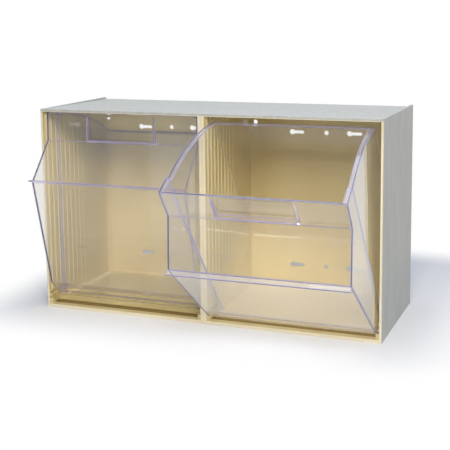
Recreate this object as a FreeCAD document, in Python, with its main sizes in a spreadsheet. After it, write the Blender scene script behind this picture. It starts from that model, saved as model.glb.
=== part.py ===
import FreeCAD, Part
import math
import os

import Sketcher

# Two-bin tilt-out cabinet: two case modules side by side, each with a clear bin
# that tips forward on moulded pivot pins. Millimetres.
# The row frame has +X to the right, +Y to the back and +Z up, with its origin at
# the middle of the base. Each case is drawn with its own origin at the module's
# lower front left corner, and each bin about its pivot axis in the shut position.

doc = FreeCAD.newDocument("TiltOutBin")
sheet = doc.addObject("Spreadsheet::Sheet", "Sizes")


class Size:
    """A number together with the sheet expression that gives it."""

    def __init__(self, number, words):
        self.number = float(number)
        self.words = words

    def combine(self, other, sign, number):
        return Size(number, f"({self.words} {sign} {words_of(other)})")

    def __add__(self, other):
        return self.combine(other, "+", self.number + number_of(other))

    def __sub__(self, other):
        return self.combine(other, "-", self.number - number_of(other))

    def __mul__(self, other):
        return self.combine(other, "*", self.number * number_of(other))

    def __truediv__(self, other):
        return self.combine(other, "/", self.number / number_of(other))

    def __neg__(self):
        return Size(-self.number, f"(0 - {self.words})")


def number_of(value):
    return value.number if isinstance(value, Size) else float(value)


def words_of(value):
    return value.words if isinstance(value, Size) else repr(value)


def root(value):
    return Size(math.sqrt(value.number), f"sqrt({value.words})")


def sine(value):
    return Size(math.sin(math.radians(value.number)), f"sin({value.words})")


def cosine(value):
    return Size(math.cos(math.radians(value.number)), f"cos({value.words})")


def arc_tangent(value):
    return Size(math.degrees(math.atan(value.number)), f"atan({value.words})")


sheet_rows = []


def size(name, number):
    """Write one driving dimension into the sheet."""
    row = len(sheet_rows) + 1
    sheet_rows.append(name)
    sheet.set(f"A{row}", name)
    sheet.set(f"B{row}", str(number))
    sheet.setAlias(f"B{row}", name)
    return Size(number, f"Sizes.{name}")


# Case module
module_width = size("module_width", 300)
case_height = size("case_height", 352.4)
case_depth = size("case_depth", 230)
outer_wall = size("outer_wall", 4)
party_wall = size("party_wall", 5.5)
roof_wall = size("roof_wall", 4.6)
floor_wall = size("floor_wall", 5.7)
back_wall = size("back_wall", 3)
side_draft = size("side_draft", 2.5)
floor_rise = size("floor_rise", 5.5)
roof_fall = size("roof_fall", 3)
roof_fall_start = size("roof_fall_start", 3)
stack_ridge = size("stack_ridge", 5)
edge_round = size("edge_round", 0.8)

# Back panel: set in from the rear rim of the walls, its upper zone a little further
panel_recess = size("panel_recess", 12)
hanger_zone_drop = size("hanger_zone_drop", 85.4)
hanger_zone_step = size("hanger_zone_step", 2)

# Wall hangers: two keyholes and a round hole in an upper and a lower row
keyhole_first = size("keyhole_first", 88)
keyhole_second = size("keyhole_second", 193)
keyhole_travel = size("keyhole_travel", 19.5)
keyhole_head_radius = size("keyhole_head_radius", 4.8)
keyhole_slot_radius = size("keyhole_slot_radius", 2.8)
upper_row_drop = size("upper_row_drop", 51.4)
lower_row = size("lower_row", 56)
round_hole_radius = size("round_hole_radius", 4)
round_hole_place = size("round_hole_place", 151)
corner_hole_inset = size("corner_hole_inset", 18)
corner_hole_drop = size("corner_hole_drop", 36.4)

# Upright ribs inside both side walls
rib_count = size("rib_count", 9)
rib_pitch = size("rib_pitch", 14.6)
rib_first = size("rib_first", 11)
rib_width = size("rib_width", 6)
rib_crest = size("rib_crest", 2)
rib_height = size("rib_height", 1.9)

# Sill trough behind the front lip
sill_depth = size("sill_depth", 12)
trough_width = size("trough_width", 20)
trough_drop = size("trough_drop", 3.2)

# Pivot: the pins ride in slots between two rails on each side wall
pivot_setback = size("pivot_setback", 41)
pivot_height = size("pivot_height", 25)
pin_radius = size("pin_radius", 2.6)
pin_clearance = size("pin_clearance", 0.3)
rail_height = size("rail_height", 2.8)
rail_thickness = size("rail_thickness", 3)
rail_front = size("rail_front", 3)

# Joining rivets through the party walls and the holes made for them
front_rivet_setback = size("front_rivet_setback", 38)
rear_rivet_setback = size("rear_rivet_setback", 170)
rivet_drop = size("rivet_drop", 15.4)
rivet_shank_radius = size("rivet_shank_radius", 2.4)
rivet_head_radius = size("rivet_head_radius", 4.5)
rivet_head_height = size("rivet_head_height", 1.4)
rivet_clearance = size("rivet_clearance", 0.2)
seat_margin = size("seat_margin", 1)
seat_cut = size("seat_cut", 0.3)

# Bin, measured in the shut position from the case front plane and the base
open_angle = size("open_angle", 38.5)
bin_side_gap = size("bin_side_gap", 3.75)
bin_wall = size("bin_wall", 2.4)
front_panel_wall = size("front_panel_wall", 3)
nose_reach = size("nose_reach", 48)
slope_height = size("slope_height", 63.5)
brow_setback = size("brow_setback", 6)
brow_drop = size("brow_drop", 55.4)
strip_setback = size("strip_setback", 8)
roof_gap = size("roof_gap", 1)
crown_drop = size("crown_drop", 3)
rim_step = size("rim_step", 4)
toe_setback = size("toe_setback", 1)
toe_height = size("toe_height", 45)
rear_gap = size("rear_gap", 1)
rest_gap = size("rest_gap", 0.3)
crease_step = size("crease_step", 1)
side_taper_back = size("side_taper_back", 6.5)
wall_taper = size("wall_taper", 4)
floor_round = size("floor_round", 9)
corner_round = size("corner_round", 4)
rim_flange = size("rim_flange", 5)
rear_flange = size("rear_flange", 5)

# Label recess in the middle of the upper front strip: its back leans, so that it is
# deepest at the bottom and runs out just under the rim
label_width = size("label_width", 123)
label_depth = size("label_depth", 5.5)
label_rise = size("label_rise", 2.2)
label_lead = size("label_lead", 0.3)

# Pull lip along the nose
lip_reach = size("lip_reach", 10)
lip_rise = size("lip_rise", 3)
lip_thickness = size("lip_thickness", 3)
lip_root = size("lip_root", 1.5)

# Stop pads in the front corners of the case
stop_width = size("stop_width", 6)
stop_front = size("stop_front", 1.5)
stop_depth = size("stop_depth", 8)
stop_gap = size("stop_gap", 0.3)

# How far a cutting outline runs past what it cuts
overrun = size("overrun", 5)

zero = Size(0, "0")
doc.recompute()


def plane(body, role):
    """An origin plane of this body, found by its role."""
    for feature in body.Origin.OriginFeatures:
        if feature.Role == role:
            return feature
    raise ValueError(role)


def new_sketch(body, name, role, offset):
    sketch = body.newObject("Sketcher::SketchObject", name)
    sketch.AttachmentSupport = [(plane(body, role), "")]
    sketch.MapMode = "FlatFace"
    if offset is not zero:
        sketch.setExpression("AttachmentOffset.Base.z", offset.words)
    return sketch


def tie(sketch, kind, element, point, value):
    """Fix one coordinate of a point, measured from the sketch's origin."""
    index = sketch.addConstraint(Sketcher.Constraint(kind, -1, 1, element, point, value.number))
    sketch.setExpression(f"Constraints[{index}]", value.words)


def add_outline(sketch, corners):
    """Closed outline of straight lines with every corner tied to the sheet."""
    first = sketch.GeometryCount
    count = len(corners)
    for index, corner in enumerate(corners):
        following = corners[(index + 1) % count]
        start = FreeCAD.Vector(corner[0].number, corner[1].number, 0)
        end = FreeCAD.Vector(following[0].number, following[1].number, 0)
        sketch.addGeometry(Part.LineSegment(start, end), False)
    for index in range(count):
        following = (index + 1) % count
        sketch.addConstraint(
            Sketcher.Constraint("Coincident", first + index, 2, first + following, 1))
    for index, corner in enumerate(corners):
        tie(sketch, "DistanceX", first + index, 1, corner[0])
        tie(sketch, "DistanceY", first + index, 1, corner[1])


def add_circle(sketch, across, up, radius):
    centre = FreeCAD.Vector(across.number, up.number, 0)
    element = sketch.addGeometry(
        Part.Circle(centre, FreeCAD.Vector(0, 0, 1), radius.number), False)
    tie(sketch, "DistanceX", element, 3, across)
    tie(sketch, "DistanceY", element, 3, up)
    index = sketch.addConstraint(Sketcher.Constraint("Radius", element, radius.number))
    sketch.setExpression(f"Constraints[{index}]", radius.words)


def outline(body, name, role, corners, offset=zero):
    sketch = new_sketch(body, name, role, offset)
    add_outline(sketch, corners)
    return sketch


def box_corners(left, right, low, high):
    return [(left, low), (right, low), (right, high), (left, high)]


def pad(body, name, sketch, length, middle=False, backwards=False):
    feature = body.newObject("PartDesign::Pad", name)
    feature.Profile = sketch
    feature.setExpression("Length", length.words)
    feature.Midplane = middle
    feature.Reversed = backwards
    return feature


def pocket(body, name, sketch, length, backwards=False):
    feature = body.newObject("PartDesign::Pocket", name)
    feature.Profile = sketch
    feature.setExpression("Length", length.words)
    feature.Reversed = backwards
    return feature


def loft(body, kind, name, first, last):
    feature = body.newObject(kind, name)
    feature.Profile = first
    feature.Sections = [last]
    feature.Ruled = True
    return feature


def new_body(label):
    body = doc.addObject("PartDesign::Body", label)
    body.Label = label
    return body


def at_row_frame(body, across, back, up):
    """Place a body's own origin in the row frame."""
    body.setExpression("Placement.Base.x", across.words)
    body.setExpression("Placement.Base.y", back.words)
    body.setExpression("Placement.Base.z", up.words)


# Derived places that several pieces share, in module coordinates
inner_depth = case_depth - panel_recess - back_wall
hanger_zone_height = case_height - hanger_zone_drop
upper_row = case_height - upper_row_drop
corner_hole_height = case_height - corner_hole_drop
brow_height = case_height - brow_drop
nose_height = brow_height - slope_height
rivet_height = case_height - rivet_drop
heel_radius = pivot_height - floor_wall - floor_rise - rest_gap
toe_back = pivot_setback - toe_setback
toe_up = toe_height - pivot_height
clear_width = module_width - outer_wall - party_wall
bin_half = clear_width / 2 - bin_side_gap
seat_radius = rivet_head_radius + seat_margin


def seat_growth(setback):
    """Height of a rivet's seat above the side wall's thickness at the mouth."""
    return side_draft * setback / inner_depth - seat_cut


def heel_tangent_point(back, up, radius):
    """Where the line from the toe meets the heel circle, seen from the pivot.

    back and up give the toe in front of and above the pivot axis.
    """
    squared = back * back + up * up
    run = root(squared - radius * radius)
    across = (-(radius * radius * back) - radius * up * run) / squared
    height = (radius * radius * up - radius * back * run) / squared
    return across, height


def edge_names(shape, test):
    """Names of the edges that pass a test."""
    return [f"Edge{index + 1}" for index, edge in enumerate(shape.Edges) if test(edge)]


def reach_of(edge, axis):
    """Lowest and highest place of an edge's ends along x, y or z."""
    places = [getattr(vertex.Point, axis) for vertex in edge.Vertexes]
    return min(places), max(places)


def turned(point, angle):
    """A point of the bin after it has tipped by an angle about the pivot."""
    across = point[0] * cosine(angle) - point[1] * sine(angle)
    height = point[0] * sine(angle) + point[1] * cosine(angle)
    return across, height


def case_module(label, outer_on_left):
    """One case module: a drafted box, open at the front."""
    left_wall = outer_wall if outer_on_left else party_wall
    right_wall = party_wall if outer_on_left else outer_wall
    body = new_body(label)

    base = outline(body, label + "_base", "XY_Plane",
                   box_corners(zero, module_width, zero, case_depth))
    block = pad(body, label + "_block", base, case_height)
    doc.recompute()

    # The outer edges of the front are slightly rounded
    def is_front_edge(edge):
        return reach_of(edge, "y")[1] < outer_wall.number / 2

    front = body.newObject("PartDesign::Fillet", label + "_front_rounds")
    front.Base = (block, edge_names(block.Shape, is_front_edge))
    front.setExpression("Radius", edge_round.words)

    # Cavity with draft towards the back
    mouth = box_corners(left_wall, module_width - right_wall,
                        floor_wall, case_height - roof_wall)
    deep = box_corners(left_wall + side_draft, module_width - right_wall - side_draft,
                       floor_wall + floor_rise, case_height - roof_wall - roof_fall)
    mouth_sketch = outline(body, label + "_mouth", "XZ_Plane", mouth)
    deep_sketch = outline(body, label + "_deep", "XZ_Plane", deep, -inner_depth)
    loft(body, "PartDesign::SubtractiveLoft", label + "_cavity", mouth_sketch, deep_sketch)

    # The roof falls towards the back beside a level stacking ridge on the outer side
    fall = [(roof_fall_start, case_height), (case_depth, case_height - roof_fall),
            (case_depth + overrun, case_height - roof_fall),
            (case_depth + overrun, case_height + overrun),
            (roof_fall_start, case_height + overrun)]
    fall_start = stack_ridge if outer_on_left else -overrun
    fall_sketch = outline(body, label + "_fall", "YZ_Plane", fall, fall_start)
    fall_length = module_width - stack_ridge + overrun
    pocket(body, label + "_roof_fall", fall_sketch, fall_length, backwards=True)

    # Upper zone of the back panel stands a little forward
    zone = box_corners(left_wall, module_width - right_wall,
                       hanger_zone_height, case_height - roof_wall)
    zone_sketch = outline(body, label + "_zone", "XZ_Plane", zone, -inner_depth)
    pad(body, label + "_hanger_zone", zone_sketch, hanger_zone_step)

    # Hollow behind the back panel, inside the rear rim of the walls
    hollow_left = left_wall + side_draft
    hollow_right = module_width - right_wall - side_draft
    hollow_top = case_height - roof_wall - roof_fall
    hollow = box_corners(hollow_left, hollow_right, floor_wall + floor_rise, hollow_top)
    hollow_sketch = outline(body, label + "_hollow", "XZ_Plane", hollow, -case_depth)
    pocket(body, label + "_rear_hollow", hollow_sketch, panel_recess, backwards=True)
    behind_zone = box_corners(hollow_left, hollow_right,
                              hanger_zone_height + back_wall, hollow_top)
    behind_sketch = outline(body, label + "_behind_zone", "XZ_Plane", behind_zone,
                            -(case_depth - panel_recess))
    pocket(body, label + "_zone_hollow", behind_sketch, hanger_zone_step, backwards=True)

    # Upright ribs, one on each wall, repeated towards the back
    rib_root = rib_first - rib_width / 2
    rib_end = rib_first + rib_width / 2
    crest_root = rib_first - rib_crest / 2
    crest_end = rib_first + rib_crest / 2
    left_face = left_wall + rib_height
    right_face = module_width - right_wall - rib_height
    left_rib = [(left_wall / 2, rib_root), (left_wall, rib_root), (left_face, crest_root),
                (left_face, crest_end), (left_wall, rib_end), (left_wall / 2, rib_end)]
    right_root = module_width - right_wall
    right_rib = [(right_root + right_wall / 2, rib_root), (right_root, rib_root),
                 (right_face, crest_root), (right_face, crest_end),
                 (right_root, rib_end), (right_root + right_wall / 2, rib_end)]
    rib_sketch = new_sketch(body, label + "_rib_outline", "XY_Plane", floor_wall / 2)
    add_outline(rib_sketch, left_rib)
    add_outline(rib_sketch, right_rib)
    rib = pad(body, label + "_rib", rib_sketch, case_height - floor_wall / 2 - roof_wall)
    ribs = body.newObject("PartDesign::LinearPattern", label + "_ribs")
    ribs.Originals = [rib]
    ribs.Direction = (plane(body, "Y_Axis"), [""])
    ribs.setExpression("Occurrences", rib_count.words)
    ribs.setExpression("Length", (rib_pitch * (rib_count - 1)).words)
    body.Tip = ribs

    # Trough behind the sill
    trough = box_corners(sill_depth, sill_depth + trough_width,
                         floor_wall - trough_drop, floor_wall + floor_rise)
    trough_sketch = outline(body, label + "_trough_outline", "YZ_Plane", trough, left_wall)
    pocket(body, label + "_trough", trough_sketch, clear_width, backwards=True)

    # Pivot rails on both walls with a slot that is open to the front
    reach = pin_radius + pin_clearance
    rail_low = pivot_height - reach - rail_thickness
    rail_high = pivot_height + reach + rail_thickness
    rail_back = pivot_setback + reach + rail_thickness
    slot = box_corners(rail_front - overrun, pivot_setback,
                       pivot_height - reach, pivot_height + reach)
    sides = [("left", left_wall / 2, left_wall + rail_height, False),
             ("right", module_width - right_wall / 2,
              module_width - right_wall - rail_height, True)]
    for side, rooted, face, backwards in sides:
        name = f"{label}_{side}"
        rail = outline(body, name + "_rail_outline", "YZ_Plane",
                       box_corners(rail_front, rail_back, rail_low, rail_high), rooted)
        wall = left_wall if side == "left" else right_wall
        pad(body, name + "_rail", rail, wall / 2 + rail_height, backwards=backwards)
        slot_sketch = outline(body, name + "_slot_outline", "YZ_Plane", slot, face)
        pocket(body, name + "_slot", slot_sketch, rail_height, backwards=backwards)
        seat_sketch = new_sketch(body, name + "_seat_outline", "YZ_Plane", face)
        add_circle(seat_sketch, pivot_setback, pivot_height, reach)
        pocket(body, name + "_seat", seat_sketch, rail_height, backwards=backwards)

    # Stop pads under the tipped bin, parallel to its lower front face
    tangent = heel_tangent_point(toe_back, toe_up, heel_radius)
    toe_open = turned((-toe_back, toe_up), open_angle)
    tangent_open = turned(tangent, open_angle)
    fall_rate = (toe_open[1] - tangent_open[1]) / (tangent_open[0] - toe_open[0])
    pad_front = stop_front
    pad_back = stop_front + stop_depth
    front_top = pivot_height + toe_open[1] - stop_gap \
        - (pad_front - pivot_setback - toe_open[0]) * fall_rate
    back_top = pivot_height + toe_open[1] - stop_gap \
        - (pad_back - pivot_setback - toe_open[0]) * fall_rate
    stop = [(pad_front, floor_wall / 2), (pad_back, floor_wall / 2),
            (pad_back, back_top), (pad_front, front_top)]
    left_stop = outline(body, label + "_left_stop_outline", "YZ_Plane", stop, left_wall / 2)
    pad(body, label + "_left_stop", left_stop, left_wall / 2 + stop_width)
    right_stop = outline(body, label + "_right_stop_outline", "YZ_Plane", stop,
                         module_width - right_wall / 2)
    pad(body, label + "_right_stop", right_stop, right_wall / 2 + stop_width, backwards=True)

    # Wall hangers through the back
    rounds = new_sketch(body, label + "_hanger_rounds", "XZ_Plane", -case_depth)
    for place in (keyhole_first, keyhole_second):
        for row in (upper_row, lower_row):
            add_circle(rounds, place, row, keyhole_head_radius)
            add_circle(rounds, place + keyhole_travel, row, keyhole_slot_radius)
    for row in (upper_row, lower_row):
        add_circle(rounds, round_hole_place, row, round_hole_radius)
    for place in (corner_hole_inset, module_width - corner_hole_inset):
        add_circle(rounds, place, corner_hole_height, round_hole_radius)
    through = panel_recess + back_wall + hanger_zone_step
    pocket(body, label + "_hanger_holes", rounds, through, backwards=True)
    slots = new_sketch(body, label + "_hanger_slots", "XZ_Plane", -case_depth)
    for place in (keyhole_first, keyhole_second):
        for row in (upper_row, lower_row):
            add_outline(slots, box_corners(place, place + keyhole_travel,
                                           row - keyhole_slot_radius,
                                           row + keyhole_slot_radius))
    pocket(body, label + "_keyhole_slots", slots, through, backwards=True)

    # Joining holes through both side walls, with a flat seat around each of them
    joint_sketch = new_sketch(body, label + "_joining_outline", "YZ_Plane", zero)
    for setback in (front_rivet_setback, rear_rivet_setback):
        add_circle(joint_sketch, setback, rivet_height, rivet_shank_radius + rivet_clearance)
    pocket(body, label + "_joining_holes", joint_sketch, module_width, backwards=True)
    for place, setback in (("front", front_rivet_setback), ("rear", rear_rivet_setback)):
        growth = seat_growth(setback)
        for side, face, backwards in (("left", left_wall + growth, True),
                                      ("right", module_width - right_wall - growth, False)):
            name = f"{label}_{place}_{side}_spot"
            seat = new_sketch(body, name + "_outline", "YZ_Plane", face)
            add_circle(seat, setback, rivet_height, seat_radius)
            pocket(body, name, seat, rib_height + side_draft, backwards=backwards)
    return body


def bin_front(label, name, inset):
    """Front part of a bin, ahead of the pivot: nose, strip and rounded heel.

    inset is the wall for the hollow, or zero for the outside.
    """
    hollow = inset is not zero
    body = new_body(f"{label}_{name}")
    front_shift = front_panel_wall if hollow else zero
    half = bin_half - inset
    top = case_height - roof_wall - roof_gap - pivot_height - inset
    crown = top - crown_drop
    back_face = -inset
    toe = (-toe_back + front_shift, toe_up)
    radius = heel_radius - inset
    corners = [
        (back_face, crown),
        (strip_setback - pivot_setback + front_shift, top),
        (brow_setback - pivot_setback + front_shift, brow_height - pivot_height),
        (-(nose_reach + pivot_setback) + front_shift, nose_height - pivot_height),
        toe,
        heel_tangent_point(-toe[0], toe[1], radius),
        (back_face, zero),
    ]
    section = outline(body, f"{label}_{name}_section", "YZ_Plane", corners)
    pad(body, f"{label}_{name}_pad", section, half * 2, middle=True)

    # Rounded heel about the pivot, cut off square behind the pivot
    heel = new_sketch(body, f"{label}_{name}_heel_outline", "YZ_Plane", zero)
    add_circle(heel, zero, zero, radius)
    pad(body, f"{label}_{name}_heel", heel, half * 2, middle=True)
    behind = outline(body, f"{label}_{name}_behind", "YZ_Plane",
                     box_corners(back_face, heel_radius + overrun,
                                 -(heel_radius + overrun), heel_radius + overrun),
                     half + overrun)
    pocket(body, f"{label}_{name}_square", behind, (half + overrun) * 2)
    return body


rim_radius = case_height - roof_wall - roof_gap - pivot_height - crown_drop - rim_step
rear_reach = inner_depth - hanger_zone_step - rear_gap - pivot_setback
rear_height = rim_radius + heel_radius


def names_where(pieces, kind, test):
    """Names of the faces or edges whose vertices all pass a test."""
    names = []
    for index, piece in enumerate(pieces):
        if all(test(vertex.Point) for vertex in piece.Vertexes):
            names.append(f"{kind}{index + 1}")
    return names


def bin_rear(label, name, inset):
    """Rear part of a bin, behind the pivot: drafted sides, floor and back wall."""
    hollow = inset is not zero
    body = new_body(f"{label}_{name}")
    low = inset - heel_radius
    front = -(inset + crease_step) if hollow else zero
    half = bin_half - crease_step - inset
    reach = rear_reach - inset
    taper_rate = side_taper_back / rear_reach
    narrow = half - reach * taper_rate
    wide = half - front * taper_rate
    corners = [(-wide, front), (wide, front), (narrow, reach), (-narrow, reach)]
    plan = outline(body, f"{label}_{name}_plan", "XY_Plane", corners, low)
    block = pad(body, f"{label}_{name}_block", plan, rim_radius - low)
    doc.recompute()

    # The two sides and the back draw in towards the floor
    middle = reach.number / 2
    low_half = rim_radius.number / 2
    shape = block.Shape
    faces = names_where(shape.Faces, "Face", lambda point: point.x < 0)
    faces += names_where(shape.Faces, "Face", lambda point: point.x > 0)
    faces += names_where(shape.Faces, "Face", lambda point: point.y > middle)
    top = names_where(shape.Faces, "Face", lambda point: point.z > low_half)
    drafted = body.newObject("PartDesign::Draft", f"{label}_{name}_draft")
    drafted.Base = (block, faces)
    drafted.NeutralPlane = (block, top)
    drafted.Reversed = True
    drafted.setExpression("Angle", arc_tangent(wall_taper / rear_height).words)
    doc.recompute()

    # Round the floor edges, then the two upright back corners
    shape = drafted.Shape
    edges = names_where(shape.Edges, "Edge", lambda point: point.z < low_half)
    front_edges = names_where(shape.Edges, "Edge", lambda point: point.y < middle)
    floor_edges = sorted(set(edges) - set(front_edges))
    rounded = body.newObject("PartDesign::Fillet", f"{label}_{name}_floor_rounds")
    rounded.Base = (drafted, floor_edges)
    rounded.setExpression("Radius", (floor_round - inset).words)
    doc.recompute()

    def is_upright_corner(edge):
        low, high = reach_of(edge, "z")
        return reach_of(edge, "y")[0] > middle and high - low > low_half

    upright = edge_names(rounded.Shape, is_upright_corner)
    corners = body.newObject("PartDesign::Fillet", f"{label}_{name}_corner_rounds")
    corners.Base = (rounded, upright)
    corners.setExpression("Radius", (corner_round - inset).words)
    return body


def rod(name, radius, start, length, back=zero, up=zero):
    """A round bar along X."""
    bar = doc.addObject("Part::Cylinder", name)
    bar.setExpression("Radius", radius.words)
    bar.setExpression("Height", length.words)
    bar.Placement.Rotation = FreeCAD.Rotation(FreeCAD.Vector(0, 1, 0), 90)
    at_row_frame(bar, start, back, up)
    return bar


def block_body(name, role, corners, offset, length, backwards=False):
    """A straight block from one outline."""
    body = new_body(name)
    section = outline(body, name + "_outline", role, corners, offset)
    pad(body, name + "_pad", section, length, backwards=backwards)
    return body


def fused(name, pieces):
    joined = doc.addObject("Part::MultiFuse", name)
    joined.Shapes = pieces
    joined.Refine = True
    return joined


def cut_from(name, base, tool):
    result = doc.addObject("Part::Cut", name)
    result.Base = base
    result.Tool = tool
    return result


def bin_skin(label, name, inset):
    """The outside of a bin, or its hollow when inset by the wall."""
    front = bin_front(label, name + "_front", inset)
    rear = bin_rear(label, name + "_rear", inset)
    span = bin_half + overrun
    wheel = rod(f"{label}_{name}_rim_wheel", rim_radius - inset, -span, span * 2)
    rounded = doc.addObject("Part::MultiCommon", f"{label}_{name}_rear_round")
    rounded.Shapes = [rear, wheel]
    return fused(f"{label}_{name}", [front, rounded])


def clear_bin(label):
    """One clear moulded bin, drawn shut with its pivot axis on X."""
    outside = bin_skin(label, "outside", zero)
    inside = bin_skin(label, "inside", bin_wall)
    top = case_height - roof_wall - roof_gap - pivot_height

    # The opening leaves a narrow flange inside the rim
    strip_face = strip_setback - pivot_setback
    wide = bin_half - bin_wall - rim_flange - crease_step
    narrow = wide - side_taper_back
    rear = rear_reach - bin_wall - rear_flange
    mouth = [(-wide, strip_face + front_panel_wall), (wide, strip_face + front_panel_wall),
             (wide, zero), (narrow, rear), (-narrow, rear), (-wide, zero)]
    opening = block_body(f"{label}_opening", "XY_Plane", mouth, zero, top + overrun)
    shell = cut_from(f"{label}_shell", outside, fused(f"{label}_room", [inside, opening]))

    # Label recess in the strip: its skin first, then the recess itself
    half_label = label_width / 2
    recess_floor = brow_height - pivot_height + label_rise
    recess_back = strip_face + label_depth
    skin_low = recess_floor - bin_wall
    skin_high = top - bin_wall
    skin = block_body(f"{label}_label_skin", "YZ_Plane",
                      [(strip_face, skin_low), (recess_back + bin_wall, skin_low),
                       (strip_face + bin_wall, skin_high), (strip_face, skin_high)],
                      -(half_label + bin_wall), (half_label + bin_wall) * 2)
    recess = block_body(f"{label}_label_recess", "YZ_Plane",
                        [(strip_face - overrun, recess_floor), (recess_back, recess_floor),
                         (strip_face - label_lead, top), (strip_face - overrun, top)],
                        -half_label, label_width)

    # Pull lip along the nose
    nose = -(nose_reach + pivot_setback)
    nose_up = nose_height - pivot_height
    half_lip = lip_thickness / 2
    lip = [(nose + lip_root, nose_up - half_lip), (nose + lip_root, nose_up + half_lip),
           (nose - lip_reach, nose_up + lip_rise + half_lip),
           (nose - lip_reach, nose_up + lip_rise - half_lip)]
    pull = block_body(f"{label}_pull_lip", "YZ_Plane", lip, -bin_half, bin_half * 2)

    # Pivot pins, rooted in the side walls on both sides of the crease
    root_depth = crease_step + wall_taper + bin_wall
    pin_length = root_depth + bin_side_gap - pin_clearance
    left_pin = rod(f"{label}_left_pin", pin_radius, -(bin_half - root_depth) - pin_length,
                   pin_length)
    right_pin = rod(f"{label}_right_pin", pin_radius, bin_half - root_depth, pin_length)

    solid = fused(f"{label}_solid", [shell, skin, pull, left_pin, right_pin])
    finished = cut_from(label, solid, recess)
    finished.Label = label
    return finished


def joining_rivets(label):
    """Two flanged rivets through the party walls."""
    rivets = []
    for place, setback in (("front", front_rivet_setback), ("rear", rear_rivet_setback)):
        reach = party_wall + seat_growth(setback)
        back = setback - case_depth / 2
        parts = [
            rod(f"{place}_shank", rivet_shank_radius, -reach, reach * 2, back, rivet_height),
            rod(f"{place}_left_head", rivet_head_radius, -reach - rivet_head_height,
                rivet_head_height, back, rivet_height),
            rod(f"{place}_right_head", rivet_head_radius, reach, rivet_head_height,
                back, rivet_height)]
        rivets.append(fused(f"{place}_rivet", parts))
    group = doc.addObject("Part::Compound", label)
    group.Links = rivets
    group.Label = label
    return group


left_case = case_module("left_case", True)
at_row_frame(left_case, -module_width, -(case_depth / 2), zero)
right_case = case_module("right_case", False)
at_row_frame(right_case, zero, -(case_depth / 2), zero)

bin_centre = outer_wall + bin_side_gap + bin_half
pivot_back = pivot_setback - case_depth / 2
left_bin = clear_bin("left_bin")
at_row_frame(left_bin, bin_centre - module_width, pivot_back, pivot_height)
right_bin = clear_bin("right_bin")
right_bin.Placement.Rotation = FreeCAD.Rotation(FreeCAD.Vector(1, 0, 0), open_angle.number)
right_bin.setExpression("Placement.Rotation.Angle", open_angle.words)
at_row_frame(right_bin, module_width - bin_centre, pivot_back, pivot_height)

rivets = joining_rivets("joining_rivets")

doc.recompute()
for thing in doc.Objects:
    if "Invalid" in thing.State or "Error" in thing.State:
        raise RuntimeError(f"{thing.Name} failed: {thing.State}")

pieces = [left_case, right_case, left_bin, right_bin, rivets]
for piece in pieces:
    if piece.Shape.isNull() or not piece.Shape.isValid():
        raise RuntimeError(f"{piece.Label} has no valid shape")
    print(piece.Label, "solids", len(piece.Shape.Solids), "volume", round(piece.Shape.Volume))

os.makedirs("parts", exist_ok=True)
for piece in pieces:
    piece.Shape.exportStep(f"parts/{piece.Label}.step")
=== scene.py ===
import math

import bpy
from mathutils import Matrix, Vector

# Two-bin tilt-out cabinet: ivory moulded cases, clear moulded bins. Metres, row frame:
# +X to the right along the row, +Y to the back, +Z up, origin at the middle of the base.

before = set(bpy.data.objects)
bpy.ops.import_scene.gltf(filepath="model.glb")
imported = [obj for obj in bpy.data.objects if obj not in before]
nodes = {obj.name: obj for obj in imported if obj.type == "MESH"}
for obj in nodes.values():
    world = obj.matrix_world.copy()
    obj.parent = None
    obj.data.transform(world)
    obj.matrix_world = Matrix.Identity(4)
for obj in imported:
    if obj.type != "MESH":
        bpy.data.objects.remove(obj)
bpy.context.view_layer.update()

MM = 0.001

# Where the ivory changes, each with a short blend from the first place to the second:
# the outer sides, the tops, the troughs in the floor and the rims round the mouths
SIDES = (299.2 * MM, 299.8 * MM)
TOPS = (348.3 * MM, 348.9 * MM)
TROUGHS = (5.6 * MM, 4.6 * MM)
RIMS = (-113.9 * MM, -114.6 * MM)

# The colour sockets of a Mix node share their names, so they are reached by number
MIX_FIRST = 6
MIX_SECOND = 7
MIX_RESULT = 2


def linear(hex_colour):
    """An sRGB hex colour as the opaque linear colour that shaders use."""
    channels = []
    for start in (1, 3, 5):
        value = int(hex_colour[start:start + 2], 16) / 255
        if value <= 0.04045:
            channels.append(value / 12.92)
        else:
            channels.append(((value + 0.055) / 1.055) ** 2.4)
    return (*channels, 1.0)


def new_material(name):
    """An empty node material, with its tree and its output."""
    material = bpy.data.materials.new(name)
    material.use_nodes = True
    tree = material.node_tree
    tree.nodes.clear()
    return material, tree, tree.nodes.new("ShaderNodeOutputMaterial")


def add(tree, kind, links=(), **settings):
    """Add one node. settings are its properties, or its inputs by name with spaces as
    underscores; links are pairs of input name and the socket that feeds it."""
    node = tree.nodes.new("ShaderNode" + kind)
    for name, value in settings.items():
        if hasattr(node, name):
            setattr(node, name, value)
        else:
            node.inputs[name.replace("_", " ")].default_value = value
    for name, socket in links:
        tree.links.new(socket, node.inputs[name])
    return node


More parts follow.
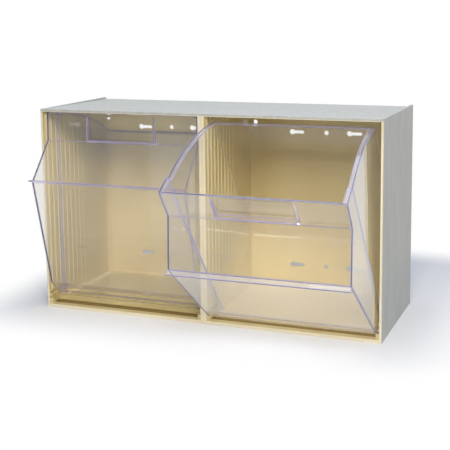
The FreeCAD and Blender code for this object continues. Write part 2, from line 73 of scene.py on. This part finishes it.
def ivory_polystyrene():
    """High impact polystyrene, injection moulded, ivory.

    The cavity half of the mould was spark eroded and the core half was polished. So the
    outer faces have a fine matt grain with faint upright streaks, and the inside is glossy
    and shows the deeper colour. The outer faces are painted paler and greyer, a painted
    sheen for the light that their grain scatters.
    """
    material, tree, output = new_material("ivory_polystyrene")
    place = add(tree, "TexCoord").outputs["Object"]
    axes = add(tree, "SeparateXYZ", [("Vector", place)])
    side = add(tree, "Math", operation="ABSOLUTE")
    tree.links.new(axes.outputs["X"], side.inputs[0])
    on_side = add(tree, "MapRange", [("Value", side.outputs["Value"])],
                  From_Min=SIDES[0], From_Max=SIDES[1])
    on_top = add(tree, "MapRange", [("Value", axes.outputs["Z"])],
                 From_Min=TOPS[0], From_Max=TOPS[1])
    outside = add(tree, "Math", operation="MAXIMUM")
    tree.links.new(on_side.outputs["Result"], outside.inputs[0])
    tree.links.new(on_top.outputs["Result"], outside.inputs[1])
    outside = outside.outputs["Value"]

    flow = add(tree, "TexNoise", [("Vector", place)], Scale=1 / (90 * MM), Detail=2.0)
    amount = add(tree, "MapRange", [("Value", flow.outputs["Fac"])],
                 From_Min=0.3, From_Max=0.7)
    inner = add(tree, "Mix", data_type="RGBA")
    inner.inputs[MIX_FIRST].default_value = linear("#D1C08A")
    inner.inputs[MIX_SECOND].default_value = linear("#DACC9B")
    tree.links.new(amount.outputs["Result"], inner.inputs["Factor"])

    stretch = add(tree, "Mapping", [("Vector", place)], Scale=(1.0, 1.0, 0.12))
    streaks = add(tree, "TexNoise", [("Vector", stretch.outputs["Vector"])],
                  Scale=1 / (9 * MM), Detail=4.0)
    tone = add(tree, "MapRange", [("Value", streaks.outputs["Fac"])],
               From_Min=0.35, From_Max=0.65)
    # Painted sheen: the outer faces are painted paler and greyer for the light their matt
    # grain scatters, with the streaks as their own random tone
    outer = add(tree, "Mix", data_type="RGBA")
    outer.inputs[MIX_FIRST].default_value = linear("#B7B9B3")
    outer.inputs[MIX_SECOND].default_value = linear("#C4C6C0")
    tree.links.new(tone.outputs["Result"], outer.inputs["Factor"])

    # Painted shade: the troughs behind the sills, which lie below the floor's front edge, are
    # painted darker where shade falls in them
    in_trough = add(tree, "MapRange", [("Value", axes.outputs["Z"])],
                    From_Min=TROUGHS[0], From_Max=TROUGHS[1])
    painted_trough_shade = add(tree, "Mix", data_type="RGBA")
    painted_trough_shade.inputs[MIX_SECOND].default_value = linear("#8F7A4B")
    tree.links.new(in_trough.outputs["Result"], painted_trough_shade.inputs["Factor"])
    tree.links.new(inner.outputs[MIX_RESULT], painted_trough_shade.inputs[MIX_FIRST])

    # Painted light: the front faces round the mouths are painted a paler cream, where light
    # from the front falls on them
    on_rim = add(tree, "MapRange", [("Value", axes.outputs["Y"])],
                 From_Min=RIMS[0], From_Max=RIMS[1])
    painted_rim_light = add(tree, "Mix", data_type="RGBA")
    painted_rim_light.inputs[MIX_SECOND].default_value = linear("#EDE3C6")
    tree.links.new(on_rim.outputs["Result"], painted_rim_light.inputs["Factor"])
    tree.links.new(painted_trough_shade.outputs[MIX_RESULT], painted_rim_light.inputs[MIX_FIRST])
    colour = add(tree, "Mix", data_type="RGBA")
    tree.links.new(outside, colour.inputs["Factor"])
    tree.links.new(painted_rim_light.outputs[MIX_RESULT], colour.inputs[MIX_FIRST])
    tree.links.new(outer.outputs[MIX_RESULT], colour.inputs[MIX_SECOND])

    rough = add(tree, "MapRange", [("Value", outside)], To_Min=0.2, To_Max=0.42)
    grain = add(tree, "TexNoise", [("Vector", place)], Scale=1 / (0.8 * MM), Detail=3.0)
    depth = add(tree, "MapRange", [("Value", outside)], To_Min=0.06, To_Max=0.3)
    bump = add(tree, "Bump", [("Height", grain.outputs["Fac"]),
                              ("Strength", depth.outputs["Result"])], Distance=0.1 * MM)
    shader = add(tree, "BsdfPrincipled",
                 [("Base Color", colour.outputs[MIX_RESULT]),
                  ("Roughness", rough.outputs["Result"]),
                  ("Normal", bump.outputs["Normal"])], IOR=1.59)
    tree.links.new(shader.outputs["BSDF"], output.inputs["Surface"])
    return material


def clear_styrene():
    """Clear styrene acrylonitrile, injection moulded and polished.

    Water clear through a wall. Light that runs along a wall comes out at its edges and
    bends, which are rounded by the mould and glow blue violet. A slight unevenness of
    the faces comes from the flow, and a little haze from handling.
    """
    material, tree, output = new_material("clear_styrene")
    place = add(tree, "TexCoord").outputs["Object"]
    waves = add(tree, "TexNoise", [("Vector", place)], Scale=1 / (60 * MM), Detail=1.0)
    haze = add(tree, "TexNoise", [("Vector", place)], Scale=1 / (14 * MM), Detail=4.0)
    rough = add(tree, "MapRange", [("Value", haze.outputs["Fac"])],
                From_Min=0.4, From_Max=0.75, To_Min=0.02, To_Max=0.06)
    bump = add(tree, "Bump", [("Height", waves.outputs["Fac"])],
               Strength=0.15, Distance=0.3 * MM)
    glass = add(tree, "BsdfPrincipled",
                [("Roughness", rough.outputs["Result"]), ("Normal", bump.outputs["Normal"])],
                Base_Color=linear("#FCFBF9"), IOR=1.57, Transmission_Weight=1.0)

    # Edges and bends: where a normal rounded over 2 mm leaves the face's own
    rounded = add(tree, "Bevel", samples=6, Radius=2.0 * MM)
    face = add(tree, "NewGeometry")
    match = add(tree, "VectorMath", operation="DOT_PRODUCT")
    tree.links.new(rounded.outputs["Normal"], match.inputs[0])
    tree.links.new(face.outputs["Normal"], match.inputs[1])
    edge = add(tree, "MapRange", [("Value", match.outputs["Value"])],
               From_Min=0.998, From_Max=0.93, To_Min=0.0, To_Max=0.9)
    glow = add(tree, "BsdfTranslucent", Color=linear("#BAB4E8"))
    shine = add(tree, "BsdfDiffuse", Color=linear("#B0AAE0"))
    lit_edge = add(tree, "MixShader", Fac=0.5)
    tree.links.new(glow.outputs["BSDF"], lit_edge.inputs[1])
    tree.links.new(shine.outputs["BSDF"], lit_edge.inputs[2])
    film = add(tree, "BsdfTranslucent", Color=linear("#EEF1F8"))
    cloud = add(tree, "MapRange", [("Value", haze.outputs["Fac"])],
                From_Min=0.3, From_Max=0.7, To_Min=0.035, To_Max=0.055)
    hazy = add(tree, "MixShader", [("Fac", cloud.outputs["Result"])])
    tree.links.new(glass.outputs["BSDF"], hazy.inputs[1])
    tree.links.new(film.outputs["BSDF"], hazy.inputs[2])
    edged = add(tree, "MixShader", [("Fac", edge.outputs["Result"])])
    tree.links.new(hazy.outputs["Shader"], edged.inputs[1])
    tree.links.new(lit_edge.outputs["Shader"], edged.inputs[2])

    clear = add(tree, "BsdfTransparent", Color=linear("#F1F0EE"))
    ray = add(tree, "LightPath")
    mixed = add(tree, "MixShader", [("Fac", ray.outputs["Is Shadow Ray"])])
    tree.links.new(edged.outputs["Shader"], mixed.inputs[1])
    tree.links.new(clear.outputs["BSDF"], mixed.inputs[2])
    tint = add(tree, "VolumeAbsorption", Color=linear("#D6D4F0"), Density=2.5)
    tree.links.new(mixed.outputs["Shader"], output.inputs["Surface"])
    tree.links.new(tint.outputs["Volume"], output.inputs["Volume"])
    return material


def natural_nylon():
    """Natural nylon of the joining rivets: off-white, waxy, turned by its mould."""
    material, tree, output = new_material("natural_nylon")
    place = add(tree, "TexCoord").outputs["Object"]
    cloud = add(tree, "TexNoise", [("Vector", place)], Scale=1 / (4 * MM), Detail=2.0)
    rough = add(tree, "MapRange", [("Value", cloud.outputs["Fac"])],
                To_Min=0.3, To_Max=0.5)
    shader = add(tree, "BsdfPrincipled", [("Roughness", rough.outputs["Result"])],
                 Base_Color=linear("#EDEAE0"), IOR=1.53)
    tree.links.new(shader.outputs["BSDF"], output.inputs["Surface"])
    return material


def paper_sweep():
    """White paper that the cabinet stands on. A hand's width away from the cabinet its
    own shading gives way to plain white, so that it has no horizon."""
    material, tree, output = new_material("paper_sweep")
    place = add(tree, "TexCoord").outputs["Object"]

    # Distance from the oblong of the cabinet and the shadow behind it. Its middle lies
    # 120 mm behind the cabinet's own.
    half_oblong = (300 * MM, 240 * MM, 0)
    centred = add(tree, "Mapping", [("Vector", place)], Location=(0, -120 * MM, 0))
    folded = add(tree, "VectorMath", operation="ABSOLUTE")
    tree.links.new(centred.outputs["Vector"], folded.inputs[0])
    beyond = add(tree, "VectorMath", operation="SUBTRACT")
    tree.links.new(folded.outputs["Vector"], beyond.inputs[0])
    beyond.inputs[1].default_value = half_oblong
    outside = add(tree, "VectorMath", operation="MAXIMUM")
    tree.links.new(beyond.outputs["Vector"], outside.inputs[0])
    outside.inputs[1].default_value = (0, 0, 0)
    distance = add(tree, "VectorMath", [("Vector", outside.outputs["Vector"])],
                   operation="LENGTH")
    far = add(tree, "MapRange", [("Value", distance.outputs["Value"])],
              interpolation_type="SMOOTHSTEP", From_Min=20 * MM, From_Max=160 * MM)
    shader = add(tree, "BsdfDiffuse", Color=linear("#F4F5F7"))
    ray = add(tree, "LightPath")
    strength = add(tree, "MapRange", [("Value", ray.outputs["Is Diffuse Ray"])],
                   To_Min=1.0, To_Max=0.4)
    white = add(tree, "Emission", [("Strength", strength.outputs["Result"])],
                Color=linear("#FFFFFF"))
    mixed = add(tree, "MixShader", [("Fac", far.outputs["Result"])])
    tree.links.new(shader.outputs["BSDF"], mixed.inputs[1])
    tree.links.new(white.outputs["Emission"], mixed.inputs[2])
    tree.links.new(mixed.outputs["Shader"], output.inputs["Surface"])
    return material


def wear(node, material):
    """Give every slot of a node this material."""
    for slot in nodes[node].material_slots:
        slot.material = material


def build_floor():
    """A sheet of paper so wide that no view shows its end."""
    reach = 40.0
    mesh = bpy.data.meshes.new("paper_floor")
    corners = [(-reach, -reach, 0), (reach, -reach, 0), (reach, reach, 0), (-reach, reach, 0)]
    mesh.from_pydata(corners, [], [(0, 1, 2, 3)])
    floor = bpy.data.objects.new("paper_floor", mesh)
    bpy.context.scene.collection.objects.link(floor)
    mesh.materials.append(paper_sweep())


def softbox(name, place, target, width, height, power, colour):
    """An oblong studio light that faces a target. Its power is in watts."""
    lamp = bpy.data.lights.new(name, "AREA")
    lamp.shape = "RECTANGLE"
    lamp.size = width
    lamp.size_y = height
    lamp.energy = power
    lamp.color = linear(colour)[:3]
    light = bpy.data.objects.new(name, lamp)
    bpy.context.scene.collection.objects.link(light)
    light.location = place
    aim = Vector(target) - Vector(place)
    light.rotation_euler = aim.to_track_quat("-Z", "Y").to_euler()


def build_light():
    """A soft key from the front right, a soft top light and a pale studio round them."""
    middle = (0, 0, 0.15)
    up_and_back = (0.0, 0.6, 0.8)
    ambient_share = 0.3
    softbox("key_softbox", (0.75, -1.8, 1.55), middle, 1.1, 0.8, 38, "#FFF8EE")
    softbox("top_softbox", (0.1, 0.1, 2.2), middle, 1.6, 1.2, 15, "#DCE8FF")

    # The studio is white above and behind the cabinet and dim in front of it
    world = bpy.data.worlds.new("studio")
    bpy.context.scene.world = world
    world.use_nodes = True
    tree = world.node_tree
    tree.nodes.clear()
    output = tree.nodes.new("ShaderNodeOutputWorld")
    direction = add(tree, "TexCoord").outputs["Generated"]
    lean = add(tree, "VectorMath", operation="DOT_PRODUCT")
    tree.links.new(direction, lean.inputs[0])
    lean.inputs[1].default_value = up_and_back
    walls = add(tree, "MapRange", [("Value", lean.outputs["Value"])],
                interpolation_type="SMOOTHSTEP", From_Min=-0.5, From_Max=0.5,
                To_Min=0.15, To_Max=1.0)
    ambient = add(tree, "Math", operation="MULTIPLY")
    tree.links.new(walls.outputs["Result"], ambient.inputs[0])
    ambient.inputs[1].default_value = ambient_share
    dim = add(tree, "Background", [("Strength", ambient.outputs["Value"])],
              Color=linear("#DCE6F7"))
    mirrored = add(tree, "Background", [("Strength", walls.outputs["Result"])],
                   Color=linear("#FFFFFF"))
    white = add(tree, "Background", Color=linear("#FFFFFF"), Strength=1.0)
    ray = add(tree, "LightPath")
    seen = add(tree, "Math", operation="MAXIMUM")
    tree.links.new(ray.outputs["Is Camera Ray"], seen.inputs[0])
    tree.links.new(ray.outputs["Is Transmission Ray"], seen.inputs[1])
    glossy = add(tree, "MixShader", [("Fac", ray.outputs["Is Glossy Ray"])])
    tree.links.new(dim.outputs["Background"], glossy.inputs[1])
    tree.links.new(mirrored.outputs["Background"], glossy.inputs[2])
    mixed = add(tree, "MixShader", [("Fac", seen.outputs["Value"])])
    tree.links.new(glossy.outputs["Shader"], mixed.inputs[1])
    tree.links.new(white.outputs["Background"], mixed.inputs[2])
    tree.links.new(mixed.outputs["Shader"], output.inputs["Surface"])


def build_camera():
    """The photograph's view: a long lens, to the right of and above the cabinet."""
    frame_width = 450
    focal_pixels = 986.8
    shift_pixels = -70
    place = (0.61820, -1.57642, 0.52173)
    yaw, pitch, roll = (math.radians(angle) for angle in (21.525, 8.507, -0.701))
    lens = bpy.data.cameras.new("camera")
    lens.sensor_width = 36
    lens.lens = focal_pixels / frame_width * lens.sensor_width
    lens.shift_y = shift_pixels / frame_width
    camera = bpy.data.objects.new("camera", lens)
    bpy.context.scene.collection.objects.link(camera)
    turn = (Matrix.Rotation(yaw, 4, "Z")
            @ Matrix.Rotation(math.pi / 2 - pitch, 4, "X")
            @ Matrix.Rotation(roll, 4, "Z"))
    camera.matrix_world = Matrix.Translation(place) @ turn
    bpy.context.scene.camera = camera


case_material = ivory_polystyrene()
bin_material = clear_styrene()
for node in ("left_case", "right_case"):
    wear(node, case_material)
for node in ("left_bin", "right_bin"):
    wear(node, bin_material)
wear("joining_rivets", natural_nylon())

build_floor()
build_light()
build_camera()
bpy.context.scene.view_settings.view_transform = "Standard"
